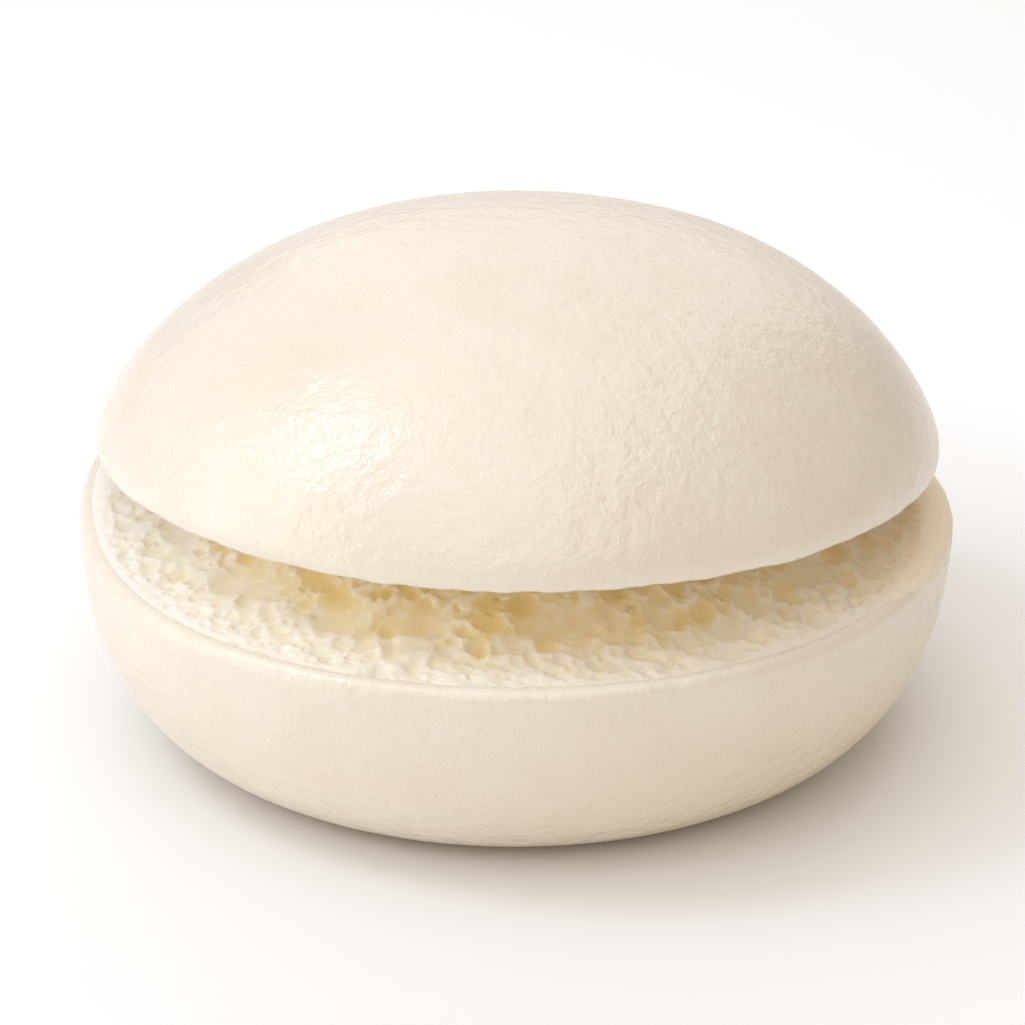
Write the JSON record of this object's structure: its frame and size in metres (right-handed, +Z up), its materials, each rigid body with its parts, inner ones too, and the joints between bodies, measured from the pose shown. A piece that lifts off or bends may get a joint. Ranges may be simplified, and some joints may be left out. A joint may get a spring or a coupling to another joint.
{
  "type": "steamed bao burger bun",
  "caption": "Plain steamed wheat bun cut round its side: a domed lid slightly raised at the front over a flat-footed base, with the open crumb showing between them.",
  "frame": {"origin": "centre of the flat foot that the bun rests on", "axes": "+Z up; -Y towards the open front, where the crumb shows most; +X to the right seen from the front"},
  "size_m": [0.095, 0.095, 0.0562],
  "materials": {
    "base_dough": "satin steamed skin over matt open crumb",
    "lid_dough": "satin, finely wrinkled steamed skin over matt open crumb"
  },
  "bodies": {
    "root": {"bun_base": "base_dough", "bun_lid": "lid_dough"}
  },
  "joints": []
}
